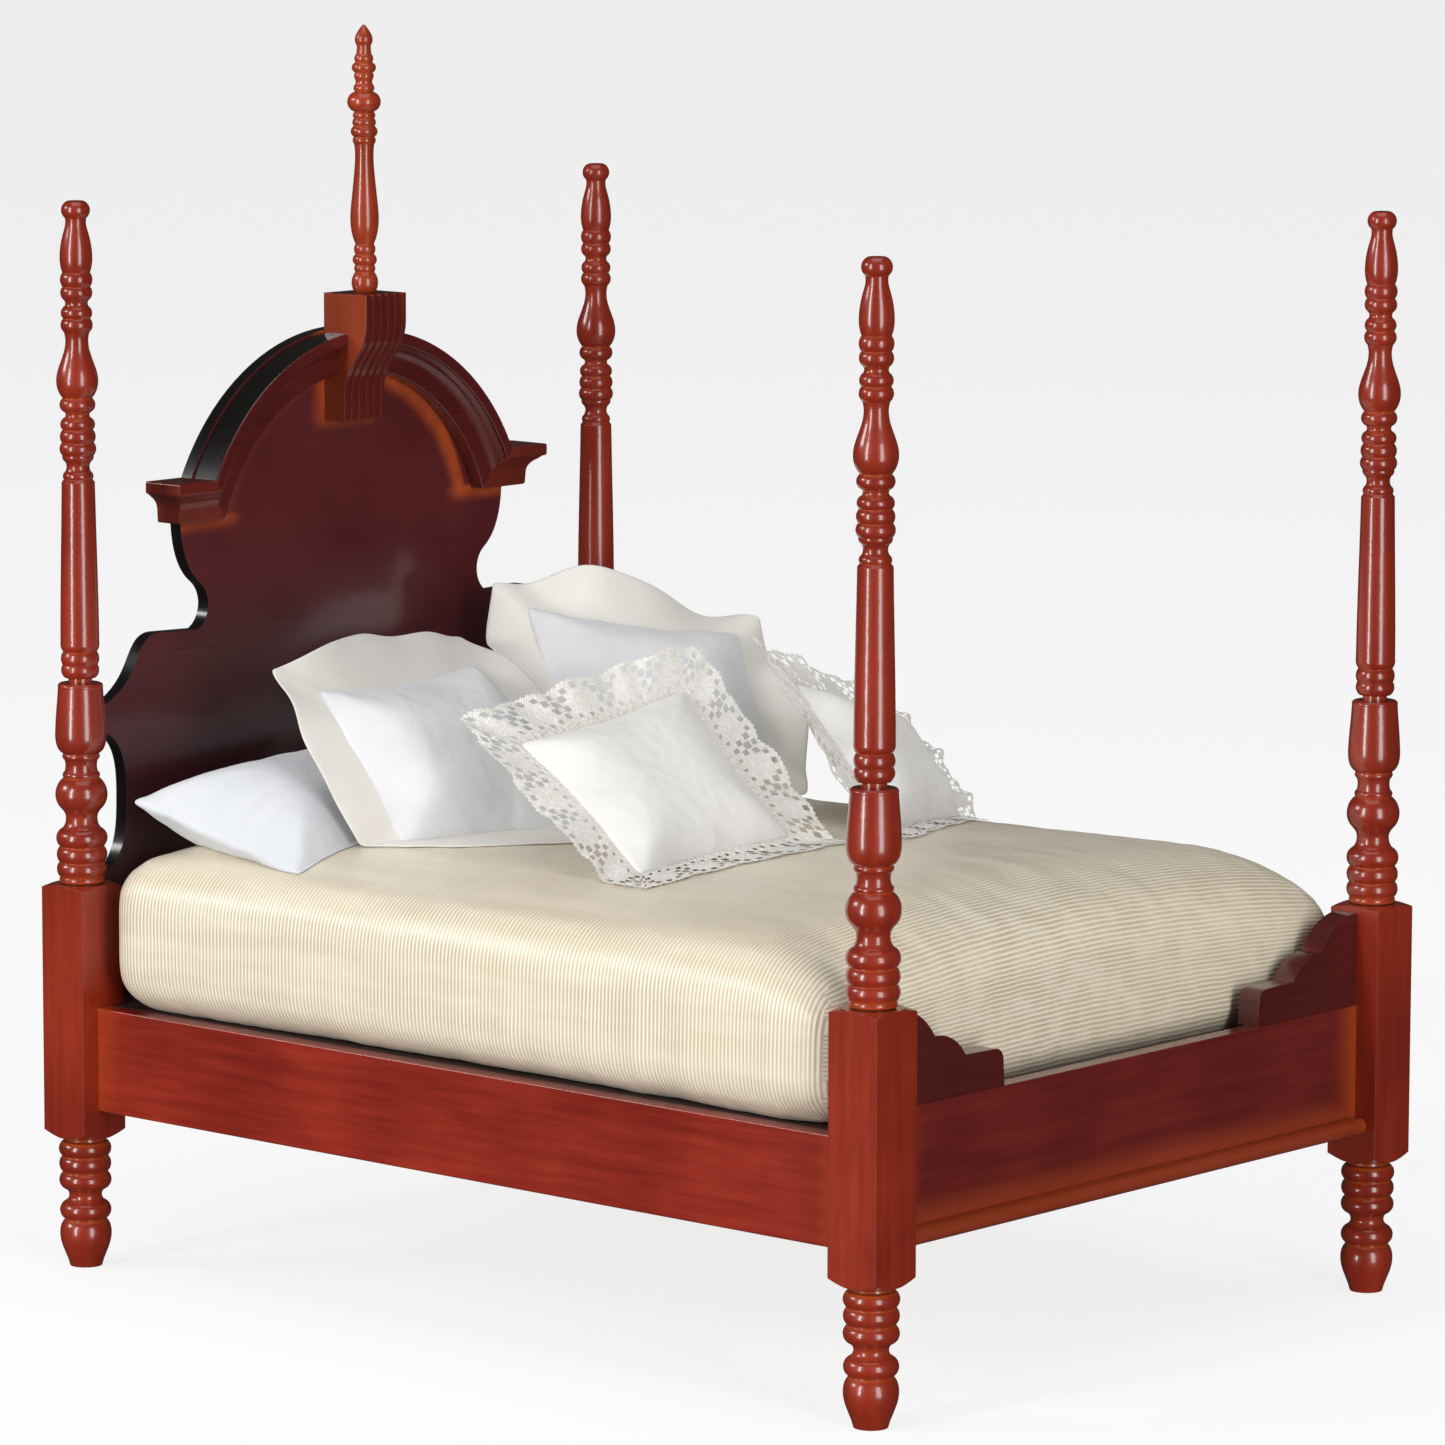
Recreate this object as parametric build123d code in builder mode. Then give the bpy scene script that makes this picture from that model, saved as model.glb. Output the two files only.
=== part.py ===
"""Miniature four poster bed, one-twelfth scale.

The bed stands on four turned posts.  Each post is two turnings: a lower post
with a square block and a socketed cup, and an upper post that plugs into it.
Rails, a headboard and a scrolled foot join the blocks.  A board on two ledgers
lies between the rails, a mattress lies on it, and six loose pillows lie at the
head.

Units are millimetres.  +Z is up, +X is the right hand side of the bed seen
from its foot, and +Y runs from the foot to the head.  The origin is the middle
of the footprint, on the ground.
"""
from build123d import *

import math
import os

os.makedirs("parts", exist_ok=True)

# ------------------------------------------------------------------------ posts
post_spacing_x = 126.1      # between post axes, across the bed
post_spacing_y = 170.0      # between post axes, along the bed
block = 9.44                # square stock, 3/8 inch
leg_height = 21.9           # turned leg under the block
block_height = 42.3
cup_height = 33.3           # lower turning, from the block to the shoulder of the cup
upper_height = 78.2         # upper post, from its foot to the top of the ball
block_rounding = 1.3        # the lathe takes this off the corners of the block

tenon_radius = 1.95         # peg under each upper post
tenon_length = 7.0          # length of the peg inside the cup
tenon_clearance = 0.05      # radial, so that the post lifts out by hand
tenon_relief = 0.4          # free space under the peg
post_gap = 0.9              # length of peg that shows above the cup

# ------------------------------------------------------------------------ rails
rail_thickness = 3.2
rail_edge = 0.3             # softened arris
side_rail_bottom = 26.7
side_rail_height = 17.3
side_rail_recess = 3.3      # outer face behind the face of the blocks
foot_rail_bottom = 29.6
foot_rail_height = 18.4
foot_rail_recess = 4.0
bead_height = 2.7           # half round moulding under the foot rail
bead_reach = 2.3            # how far it stands proud of the rail

# ------------------------------------------------------------ scrolled brackets
bracket_length = 26.2       # along the foot rail, from the block
bracket_height = 15.2       # above the foot rail, at the block
bracket_thickness = 4.0
bracket_setback = 0.3       # behind the face of the foot rail

# -------------------------------------------------------------------- headboard
panel_thickness = 2.4
panel_setback = 0.6         # front face behind the line of the post axes
panel_bottom = 26.7
cut_depth = 6.1             # waist of the side cut, in from the block
point_rise = 26.8           # point beside the cup, above the block
point_flat = 3.8            # height of the flat that faces the cup
shoulder_step = 11.3        # shoulder, in from the block
shoulder_rise = 12.6        # above the point
notch_step = 25.5           # bottom of the notch, in from the block
waist_rise = 18.3           # underside of the cornice, above the shoulder
arch_step = 17.8            # edge of the full arch, in from the block
arch_drop = 10.4            # centre of the arch, below the underside of the cornice

# ------------------------------------------------- crown moulding on the panel
crown_height = 7.1          # from the inner to the outer edge
crown_reach = 5.6           # how far the outer edge stands proud
crown_root = 2.9            # how far the inner edge stands proud
crown_band = 2.0            # flat band along the outer edge
rim_inset = 0.4             # arched moulding inside the edge of the panel

# --------------------------------------------------------------------- keystone
key_width = 9.6
key_rise = 6.0              # top above the crown of the arch
key_height = 21.6
key_reach = 10.0            # at the top, in front of the panel
key_foot = 4.8              # at the bottom, in front of the panel
key_bend = 4.5              # straight stretch above the bend and below it
flute_count = 5
flute_pitch = 1.75
flute_width = 0.7
flute_depth = 0.75
flute_clear = 0.5           # the cutter starts this far in front of the face

# ----------------------------------------------------------------------- finial
finial_height = 45.1
peg_radius = 1.2
peg_length = 5.0
peg_clearance = 0.05
peg_relief = 0.3

# ---------------------------------------------------------------- bed board
board_thickness = 1.6
board_clearance = 0.3
ledger = 2.4                # square strip inside each side rail

# ------------------------------------------------------------ soft, plain solids
soft_clearance = 0.35
mattress_height = 24.3
mattress_inset = 0.6        # inside the outer faces of the blocks
mattress_round = 7.0        # along the top
mattress_under = 3.0        # along the bottom
pillow_edge = 1.6           # thickness of a pillow along its seam

# Name: across, in front of the panel, above the mattress, width, depth,
# thickness, lean from level, turn about the vertical.
pillows = {
    "pillow_plain_left": (-31.0, 25.5, 9.2, 51.0, 38.0, 14.0, 17.0, 0.0),
    "pillow_plain_right": (31.0, 25.5, 9.6, 51.0, 38.0, 14.0, 19.0, 0.0),
    "pillow_sham_left": (-28.5, 51.0, 20.0, 55.0, 42.0, 14.0, 48.0, -8.0),
    "pillow_sham_right": (31.5, 42.5, 22.5, 55.0, 42.0, 14.0, 52.0, -4.0),
    "pillow_lace_left": (-18.0, 86.0, 17.2, 52.0, 46.0, 11.0, 38.0, -2.0),
    "pillow_lace_right": (35.5, 79.0, 16.6, 50.0, 44.0, 11.0, 38.0, -6.0),
}

# --------------------------------------------------------------- derived places
half_x = post_spacing_x / 2
half_y = post_spacing_y / 2
outer_x = half_x + block / 2
outer_y = half_y + block / 2
inner_x = half_x - block / 2
inner_y = half_y - block / 2
block_top = leg_height + block_height
cup_top = block_top + cup_height
corners = {
    "head_left": (-half_x, half_y),
    "head_right": (half_x, half_y),
    "foot_left": (-half_x, -half_y),
    "foot_right": (half_x, -half_y),
}

side_rail_top = side_rail_bottom + side_rail_height
foot_rail_top = foot_rail_bottom + foot_rail_height
foot_face = foot_rail_recess - outer_y

panel_y = half_y + panel_setback
panel_back = panel_y + panel_thickness
cut_half = inner_x - cut_depth
point_height = block_top + point_rise
shoulder_half = inner_x - shoulder_step
shoulder_height = point_height + shoulder_rise
notch_half = inner_x - notch_step
waist_height = shoulder_height + waist_rise
arch_radius = inner_x - arch_step
arch_height = waist_height - arch_drop
arch_top = arch_height + arch_radius
arch_foot = math.sqrt(arch_radius**2 - arch_drop**2)
key_top = arch_top + key_rise
finial_y = panel_y - key_reach / 2


# -------------------------------------------------------------------- turnings
# A turning is drawn from its top to its foot as a list of steps: one point is a
# straight cut, two points are a bead or a cove (crest, then end), and more are a
# swelling curve.  Each point is a radius and a height above the foot.
upper_turning = [
    [(1.3, 78.2)],
    [(2.35, 76.8), (1.75, 75.4)],
    [(1.68, 74.7), (2.1, 72.8), (2.62, 70.0), (2.64, 68.2), (2.25, 66.5)],
    [(2.65, 65.3), (2.25, 64.2)],
    [(2.6, 63.0), (2.0, 62.0)],
    [(1.83, 61.5), (2.0, 61.0)],
    [(2.56, 60.0), (2.2, 59.0)],
    [(2.62, 57.9), (2.1, 56.8)],
    [(1.86, 55.4), (2.3, 53.0), (3.2, 50.4), (3.42, 48.5), (2.9, 46.7), (2.4, 46.0)],
    [(2.92, 44.8), (2.15, 43.7)],
    [(1.95, 43.2), (2.15, 42.8)],
    [(2.82, 41.9), (2.47, 40.8)],
    [(2.93, 39.7), (2.6, 38.7)],
    [(3.0, 37.7), (2.55, 36.6)],
    [(2.5, 36.0), (2.15, 35.6)],
    [(1.88, 34.8), (2.15, 33.9)],
    [(2.5, 33.3), (2.35, 32.7)],
    [(2.72, 32.2)],
    [(2.82, 26.6), (3.05, 15.6), (3.18, 5.8)],
    [(3.1, 4.9), (2.75, 4.3)],
    [(3.15, 3.2), (2.87, 2.1)],
    [(3.12, 1.1), (2.55, 0.0)],
]

cup_turning = [
    [(3.35, 33.3)],
    [(3.62, 33.1), (3.7, 32.6)],
    [(3.95, 29.2), (4.18, 26.0), (4.2, 24.1), (3.75, 22.4), (2.9, 21.6)],
    [(3.08, 21.1), (2.75, 20.6)],
    [(2.58, 19.5), (2.75, 18.6)],
    [(3.08, 18.1), (2.9, 17.6)],
    [(3.75, 16.7), (4.28, 14.9), (3.75, 13.0), (2.75, 11.7), (2.6, 10.6), (3.2, 9.2)],
    [(4.22, 7.6), (3.6, 6.2)],
    [(4.16, 4.8), (3.7, 3.6)],
    [(4.16, 2.3), (3.6, 1.1)],
    [(3.75, 0.7), (3.3, 0.0)],
]

leg_turning = [
    [(3.4, 21.9)],
    [(3.4, 21.2)],
    [(4.34, 19.8), (3.72, 18.5)],
    [(4.3, 17.2), (3.62, 15.8)],
    [(4.32, 14.4), (3.4, 13.0)],
    [(2.8, 12.4), (2.7, 11.9), (3.3, 10.9)],
    [(4.25, 9.4), (3.35, 7.9)],
    [(3.95, 7.1), (4.26, 5.7), (3.95, 3.6), (3.1, 1.4), (2.65, 0.0)],
]

finial_turning = [
    [(0.25, 45.1)],
    [(0.75, 44.4), (1.5, 42.8), (1.2, 41.7)],
    [(1.2, 40.9), (1.3, 40.2)],
    [(1.6, 39.4), (1.4, 38.8)],
    [(2.05, 37.9), (1.5, 37.1)],
    [(1.66, 36.4), (1.46, 35.9)],
    [(1.4, 35.5), (1.5, 35.1)],
    [(1.78, 34.4), (1.5, 33.9)],
    [(2.83, 32.2), (1.6, 30.5)],
    [(1.9, 30.0), (1.7, 29.4)],
    [(2.0, 28.7), (1.75, 28.1)],
    [(2.27, 27.2), (1.75, 26.3)],
    [(1.95, 25.6), (1.7, 25.1)],
    [(1.57, 23.6), (1.7, 20.5), (2.2, 15.5), (2.4, 12.0), (2.05, 9.6), (1.55, 8.2)],
    [(1.8, 7.1), (1.55, 6.5)],
    [(2.05, 5.5), (1.6, 4.7)],
    [(1.8, 4.1), (1.6, 3.5)],
    [(2.25, 1.8), (1.7, 0.0)],
]


def save(piece, name):
    """Label a finished piece and write it to its own file."""
    piece.part.label = name
    export_step(piece.part, f"parts/{name}.step")


def lifted(steps, foot, height):
    """Stand a turning on its foot, stretched to the height that it must fill."""
    stretch = height / steps[0][0][1]
    return [[(radius, foot + rise * stretch) for radius, rise in step] for step in steps]


def turn(steps, place, mode=Mode.ADD):
    """Turn a half profile, closed on the axis at both ends, about an upright axis."""
    x, y = place
    with BuildSketch(Plane((x, y, 0), x_dir=(1, 0, 0), z_dir=(0, -1, 0))) as profile:
        with BuildLine():
            start = (0, steps[0][0][1])
            here = start
            for points in steps + [[(0, steps[-1][-1][1])], [start]]:
                if len(points) == 1:
                    Line(here, points[0])
                elif len(points) == 2:
                    ThreePointArc(here, points[0], points[1])
                else:
                    Spline(here, *points)
                here = points[-1]
        make_face()
    revolve(profile.sketch, axis=Axis((x, y, 0), (0, 0, 1)), mode=mode)


# ------------------------------------------------------------------------ posts
block_steps = [
    [(block / 2, block_top)],
    [(block, block_top - block_rounding)],
    [(block, leg_height + 2 * block_rounding)],
    [(block / 2, leg_height)],
]

for place, spot in corners.items():
    with BuildPart() as lower_post:
        with BuildSketch(Plane.XY.offset(leg_height)):
            with Locations(spot):
                Rectangle(block, block)
        extrude(amount=block_height)
        turn(block_steps, spot, mode=Mode.INTERSECT)
        turn(lifted(leg_turning, 0, leg_height), spot)
        turn(lifted(cup_turning, block_top, cup_height), spot)
        with BuildSketch(Plane.XY.offset(cup_top)):
            with Locations(spot):
                Circle(tenon_radius + tenon_clearance)
        extrude(amount=-tenon_length - tenon_relief, mode=Mode.SUBTRACT)
    save(lower_post, f"lower_post_{place}")

    with BuildPart() as upper_post:
        turn(lifted(upper_turning, cup_top + post_gap, upper_height), spot)
        with BuildSketch(Plane.XY.offset(cup_top + post_gap)):
            with Locations(spot):
                Circle(tenon_radius)
        extrude(amount=-post_gap - tenon_length)
    save(upper_post, f"upper_post_{place}")

# ------------------------------------------------------------------------ rails
for side, name in ((-1, "side_rail_left"), (1, "side_rail_right")):
    with BuildPart() as side_rail:
        with BuildSketch(Plane.XY.offset(side_rail_bottom)):
            with Locations((side * (outer_x - side_rail_recess - rail_thickness / 2), 0)):
                Rectangle(rail_thickness, 2 * inner_y)
        extrude(amount=side_rail_height)
        fillet(side_rail.edges().filter_by(Axis.Y), radius=rail_edge)
    save(side_rail, name)

with BuildPart() as foot_rail:
    with BuildSketch(Plane.XY.offset(foot_rail_bottom)):
        with Locations((0, foot_face + rail_thickness / 2)):
            Rectangle(2 * inner_x, rail_thickness)
    extrude(amount=foot_rail_height)
    fillet(foot_rail.edges().filter_by(Axis.X).group_by(Axis.Z)[-1], radius=rail_edge)
save(foot_rail, "foot_rail")

with BuildPart() as foot_bead:
    nose = foot_face - bead_reach
    shoulder = nose + bead_height / 2
    back = foot_face + rail_thickness
    low = foot_rail_bottom - bead_height
    with BuildSketch(Plane.YZ.offset(-inner_x)):
        with BuildLine():
            ThreePointArc((shoulder, foot_rail_bottom), (nose, low + bead_height / 2), (shoulder, low))
            Polyline((shoulder, low), (back, low), (back, foot_rail_bottom), (shoulder, foot_rail_bottom))
        make_face()
    extrude(amount=2 * inner_x)
save(foot_bead, "foot_rail_bead")

# ------------------------------------------------------------ scrolled brackets
# Local x runs from the block along the rail, local y rises from the rail.
for side, name in ((-1, "foot_bracket_left"), (1, "foot_bracket_right")):
    face = Plane(
        (side * inner_x, foot_face + bracket_setback, foot_rail_top),
        x_dir=(-side, 0, 0),
        z_dir=(0, side, 0),
    )
    top = bracket_height
    first = (0.36 * bracket_length, 0.65 * bracket_height)
    second = (0.64 * bracket_length, 0.40 * bracket_height)
    end_corner = (0.92 * bracket_length, 0.39 * bracket_height)
    end_face = (0.99 * bracket_length, 0.25 * bracket_height)
    with BuildPart() as bracket:
        with BuildSketch(face):
            with BuildLine():
                Line((0, 0), (0, top))
                ThreePointArc((0, top), (0.21 * bracket_length, 0.9 * top), first)
                ThreePointArc(first, (0.53 * bracket_length, 0.58 * top), second)
                Line(second, end_corner)
                ThreePointArc(end_corner, (0.97 * bracket_length, 0.35 * top), end_face)
                Polyline(end_face, (bracket_length, 0), (0, 0))
            make_face()
        extrude(amount=side * bracket_thickness)
    save(bracket, name)

# -------------------------------------------------------------------- headboard
with BuildPart() as panel:
    with BuildSketch(Plane.XZ.offset(-panel_y)):
        with BuildLine():
            tip_low = point_height - point_flat / 2
            tip_high = point_height + point_flat / 2
            shoulder_in = (notch_half + 2.4, shoulder_height)
            shoulder_out = (shoulder_half - 3.0, shoulder_height + 0.3)
            notch_top = (notch_half + 1.9, shoulder_height + 7.8)
            Polyline((0, panel_bottom), (inner_x, panel_bottom), (inner_x, block_top))
            Spline(
                (inner_x, block_top),
                (cut_half + 1.3, block_top + 4.4),
                (cut_half, (block_top + tip_low) / 2),
                (cut_half + 1.3, tip_low - 3.8),
                (inner_x, tip_low),
            )
            Line((inner_x, tip_low), (inner_x, tip_high))
            Spline(
                (inner_x, tip_high),
                (inner_x - 4.1, tip_high + 1.6),
                (inner_x - 7.9, shoulder_height - 5.2),
                (shoulder_half + 0.6, shoulder_height - 0.9),
                shoulder_out,
            )
            Line(shoulder_out, shoulder_in)
            ThreePointArc(shoulder_in, (notch_half, shoulder_height + 4.2), notch_top)
            Spline(
                notch_top,
                (notch_half + 4.3, shoulder_height + 10.4),
                (arch_foot - 0.6, waist_height - 4.4),
                (arch_foot, waist_height),
            )
            ThreePointArc(
                (arch_foot, waist_height),
                (arch_radius * math.sin(0.6), arch_height + arch_radius * math.cos(0.6)),
                (0, arch_top),
            )
            Line((0, arch_top), (0, panel_bottom))
        make_face()
        mirror(about=Plane.YZ)
    extrude(amount=-panel_thickness)
save(panel, "headboard_panel")


def crown(depth):
    """Section of the crown moulding: x is its height, y its reach, and depth lies behind."""
    band = crown_height - crown_band
    with BuildLine() as section:
        Line((0, -depth), (0, crown_root - 0.4))
        ThreePointArc((0, crown_root - 0.4), (0.12, crown_root - 0.12), (0.4, crown_root))
        Line((0.4, crown_root), (0.3 * crown_height, crown_root + 0.1))
        ThreePointArc(
            (0.3 * crown_height, crown_root + 0.1),
            (0.5 * crown_height, crown_root + 0.55),
            (band - 0.7, crown_reach - 1.2),
        )
        Line((band - 0.7, crown_reach - 1.2), (band - 0.1, crown_reach - 0.5))
        ThreePointArc(
            (band - 0.1, crown_reach - 0.5), (band, crown_reach - 0.15), (band + 0.4, crown_reach)
        )
        Line((band + 0.4, crown_reach), (crown_height - 0.3, crown_reach))
        ThreePointArc(
            (crown_height - 0.3, crown_reach),
            (crown_height - 0.09, crown_reach - 0.09),
            (crown_height, crown_reach - 0.3),
        )
        Polyline((crown_height, crown_reach - 0.3), (crown_height, -depth), (0, -depth))
    make_face(section.edges())


rim_radius = arch_radius - rim_inset
cornice_top = waist_height + crown_height
mitre_low = math.sqrt((rim_radius - crown_height) ** 2 - arch_drop**2)
mitre_high = math.sqrt(rim_radius**2 - (cornice_top - arch_height) ** 2)

for side, hand in ((-1, "left"), (1, "right")):
    mitre = Plane(
        (side * mitre_low, 0, waist_height),
        z_dir=(-side * crown_height, 0, mitre_high - mitre_low),
    )
    up = (0, 0, 1)

    with BuildPart() as arch:
        inner_rim = arch_height + rim_radius - crown_height
        with BuildSketch(Plane((0, panel_y, inner_rim), x_dir=up, z_dir=(1, 0, 0))):
            crown(0)
        revolve(axis=Axis((0, 0, arch_height), (0, 1, 0)))
        split(bisect_by=Plane.XY.offset(waist_height), keep=Keep.TOP)
        split(bisect_by=Plane((side * key_width / 2, 0, 0), z_dir=(side, 0, 0)), keep=Keep.TOP)
        split(bisect_by=mitre, keep=Keep.TOP)
    save(arch, f"arch_moulding_{hand}")

    with BuildPart() as cornice:
        with BuildSketch(Plane((0, panel_y, waist_height), x_dir=up, z_dir=(1, 0, 0))):
            crown(panel_thickness)
        extrude(amount=side * inner_x)
        with BuildSketch(
            Plane((side * arch_foot, panel_back, waist_height), x_dir=up, z_dir=(0, side, 0))
        ):
            crown(arch_foot)
        extrude(amount=-side * (panel_thickness + 2 * crown_reach), mode=Mode.INTERSECT)
        split(bisect_by=mitre, keep=Keep.BOTTOM)
        add(panel.part, mode=Mode.SUBTRACT)
    save(cornice, f"cornice_{hand}")

# --------------------------------------------------------------------- keystone
key_face = panel_y - key_reach
key_low_face = panel_y - key_foot
key_low = key_top - key_height
bend_top = key_top - key_bend
bend_low = key_low + key_bend
run_out = 1.0               # the fluting cutter starts and stops clear of the ends


def key_front(lift, over):
    """Front of the keystone in section, from above its top to below its foot."""
    Line((key_face - lift, key_top + over), (key_face - lift, bend_top))
    Spline(
        (key_face - lift, bend_top),
        (key_low_face - lift, bend_low),
        tangents=((0, -1), (0, -1)),
    )
    Line((key_low_face - lift, bend_low), (key_low_face - lift, key_low - over))


with BuildPart() as keystone:
    with BuildSketch(Plane.YZ):
        with BuildLine():
            key_front(0, 0)
            Polyline((key_low_face, key_low), (panel_y, key_low), (panel_y, key_top), (key_face, key_top))
        make_face()
    extrude(amount=key_width / 2, both=True)
    for index in range(flute_count):
        flute_x = (index - (flute_count - 1) / 2) * flute_pitch
        with BuildSketch(Plane.YZ.offset(flute_x)):
            with BuildLine():
                key_front(flute_clear, run_out)
                key_front(-flute_depth, run_out)
                Line(
                    (key_face - flute_clear, key_top + run_out),
                    (key_face + flute_depth, key_top + run_out),
                )
                Line(
                    (key_low_face - flute_clear, key_low - run_out),
                    (key_low_face + flute_depth, key_low - run_out),
                )
            make_face()
        extrude(amount=flute_width / 2, both=True, mode=Mode.SUBTRACT)
    with BuildSketch(Plane.XY.offset(key_top)):
        with Locations((0, finial_y)):
            Circle(peg_radius + peg_clearance)
    extrude(amount=-peg_length - peg_relief, mode=Mode.SUBTRACT)
save(keystone, "keystone")

with BuildPart() as finial:
    turn(lifted(finial_turning, key_top, finial_height), (0, finial_y))
    with BuildSketch(Plane.XY.offset(key_top)):
        with Locations((0, finial_y)):
            Circle(peg_radius)
    extrude(amount=-peg_length)
save(finial, "finial")

# -------------------------------------------------------------------- bed board
rail_inside = outer_x - side_rail_recess - rail_thickness

with BuildPart() as board:
    with BuildSketch(Plane.XY.offset(side_rail_top)):
        Rectangle(2 * (rail_inside - board_clearance), 2 * (inner_y - board_clearance))
    extrude(amount=-board_thickness)
save(board, "bed_board")

for side, name in ((-1, "ledger_strip_left"), (1, "ledger_strip_right")):
    with BuildPart() as strip:
        with BuildSketch(Plane.XY.offset(side_rail_top - board_thickness)):
            with Locations((side * (rail_inside - ledger / 2), 0)):
                Rectangle(ledger, 2 * (inner_y - board_clearance))
        extrude(amount=-ledger)
    save(strip, name)

# ------------------------------------------------------------ soft, plain solids
mattress_bottom = side_rail_top + soft_clearance
mattress_top = mattress_bottom + mattress_height

with BuildPart() as mattress:
    with BuildSketch(Plane.XY.offset(mattress_bottom)):
        RectangleRounded(
            2 * (outer_x - mattress_inset), 2 * (inner_y - soft_clearance), mattress_round
        )
    extrude(amount=mattress_height)
    fillet(mattress.faces().sort_by(Axis.Z)[-1].edges(), radius=mattress_round * 0.95)
    fillet(mattress.faces().sort_by(Axis.Z)[0].edges(), radius=mattress_under)
save(mattress, "mattress")

for name, (across, forward, rise, width, depth, thick, lean, yaw) in pillows.items():
    along = Vector(1, 0, 0).rotate(Axis.Z, yaw)
    slope = Vector(0, 1, 0).rotate(Axis.X, lean).rotate(Axis.Z, yaw)
    centre = Vector(across, panel_y - forward, mattress_top + rise)
    end = (depth / 2, pillow_edge / 2)
    with BuildPart() as pillow:
        with BuildSketch(Plane(centre, x_dir=slope, z_dir=along)):
            with BuildLine():
                ThreePointArc((-end[0], end[1]), (0, thick / 2), end)
                Line(end, (end[0], -end[1]))
                ThreePointArc((end[0], -end[1]), (0, -thick / 2), (-end[0], -end[1]))
                Line((-end[0], -end[1]), (-end[0], end[1]))
            make_face()
        extrude(amount=width / 2, both=True)
    save(pillow, name)
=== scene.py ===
# %% [markdown]
# # A miniature four poster bed
#
# The bed is dolls house size, one-twelfth of a real one.  Its wooden parts come from the packed
# frame and only get a finish here.  The made-up mattress, the pillows, the frills and the lace are
# soft, so they are made here as cloth.
#
# We read the frame first, and print the size of the whole bed.

import math
import random

import bpy
from mathutils import Euler, Matrix, Vector
from mathutils.bvhtree import BVHTree


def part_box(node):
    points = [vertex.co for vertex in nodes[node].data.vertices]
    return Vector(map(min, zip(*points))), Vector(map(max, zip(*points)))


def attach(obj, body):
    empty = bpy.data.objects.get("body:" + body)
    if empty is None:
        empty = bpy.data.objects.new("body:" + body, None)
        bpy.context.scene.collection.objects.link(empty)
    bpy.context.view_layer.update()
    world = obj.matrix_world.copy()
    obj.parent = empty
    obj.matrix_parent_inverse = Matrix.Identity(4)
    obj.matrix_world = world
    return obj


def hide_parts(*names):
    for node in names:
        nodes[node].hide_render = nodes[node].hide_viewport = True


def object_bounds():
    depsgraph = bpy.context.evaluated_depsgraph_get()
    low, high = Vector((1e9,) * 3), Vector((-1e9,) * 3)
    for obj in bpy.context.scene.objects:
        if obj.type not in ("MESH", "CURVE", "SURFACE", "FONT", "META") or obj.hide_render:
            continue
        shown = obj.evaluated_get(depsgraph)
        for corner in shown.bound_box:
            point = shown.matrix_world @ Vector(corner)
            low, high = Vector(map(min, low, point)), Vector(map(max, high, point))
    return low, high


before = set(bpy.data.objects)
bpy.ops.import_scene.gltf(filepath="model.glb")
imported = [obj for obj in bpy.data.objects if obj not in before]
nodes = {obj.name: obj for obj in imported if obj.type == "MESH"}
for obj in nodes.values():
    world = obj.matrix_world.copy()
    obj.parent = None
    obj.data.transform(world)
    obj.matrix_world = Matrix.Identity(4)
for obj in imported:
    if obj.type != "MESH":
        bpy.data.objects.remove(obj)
frame_low, frame_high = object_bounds()
scene = bpy.context.scene
MM = 0.001
print("frame holds", len(nodes), "nodes, size", [round(v / MM, 1) for v in frame_high - frame_low])

# %% [markdown]
# ## Camera and light
#
# A small thing is looked at from well back with a long lens, so that its upright lines stay
# upright.  The camera stands off the foot left corner, a little above the bed.  We could aim it with a
# constraint, but a plain turn about the vertical, a tilt and a slight roll are easier to read.

# %% Camera
CAMERA_PLACE = Vector((-0.8789, -0.7677, 0.2601))
CAMERA_TURN = -48.86        # degrees about the vertical, from looking along +Y
CAMERA_TILT = 8.18          # degrees below the horizon
CAMERA_ROLL = 0.137

lens = bpy.data.cameras.new("long_lens")
lens.lens = 180.1
lens.sensor_width = 36
lens.clip_start = 0.05
camera = bpy.data.objects.new("camera", lens)
camera.matrix_world = (
    Matrix.Translation(CAMERA_PLACE)
    @ Matrix.Rotation(math.radians(CAMERA_TURN), 4, "Z")
    @ Matrix.Rotation(math.radians(90 - CAMERA_TILT), 4, "X")
    @ Matrix.Rotation(math.radians(CAMERA_ROLL), 4, "Z")
)
scene.collection.objects.link(camera)
scene.camera = camera
print("camera", round((CAMERA_PLACE - (frame_low + frame_high) / 2).length, 3), "m from the bed")


# %% [markdown]
# Varnished wood shows its light sources as streaks, so the lights matter as much as the stain.  Two
# tall, narrow boxes stand low down, one to the left and one at the foot: every turning carries one
# streak from each.  A wide box overhead lights the cloth.  A small one, high up beyond the left head
# corner, draws the bright band along the shoulder of the satin.
#
# The room is white where the camera looks straight at it, and much dimmer as a light and in
# reflections.  The floor glows a little by itself, and is kept out of reflections, bounced light and
# shadows.  Both keep the dark wood dark.  Real rooms don't work like that, but it suits a plain
# white setting.

# %% Lights
def soft_box(name, place, aim, width, height, power):
    light = bpy.data.lights.new(name, "AREA")
    light.shape = "RECTANGLE"
    light.size = width
    light.size_y = height
    light.energy = power
    box = bpy.data.objects.new(name, light)
    box.location = Vector(place)
    box.rotation_euler = (Vector(aim) - Vector(place)).to_track_quat("-Z", "Y").to_euler()
    scene.collection.objects.link(box)
    return box


middle = (frame_low + frame_high) / 2
soft_box("left_box", (-1.30, 0.10, 0.30), middle, 0.20, 1.0, 11)
soft_box("front_box", (-0.45, -1.25, 0.22), middle, 0.40, 1.1, 11)
soft_box("top_box", (-0.1, -0.1, 1.3), middle, 1.0, 1.0, 4.5)
soft_box("band_box", (-1.07, 1.04, 0.75), middle, 0.45, 0.30, 6)
print("four soft boxes aimed at", [round(v, 3) for v in middle])

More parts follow.
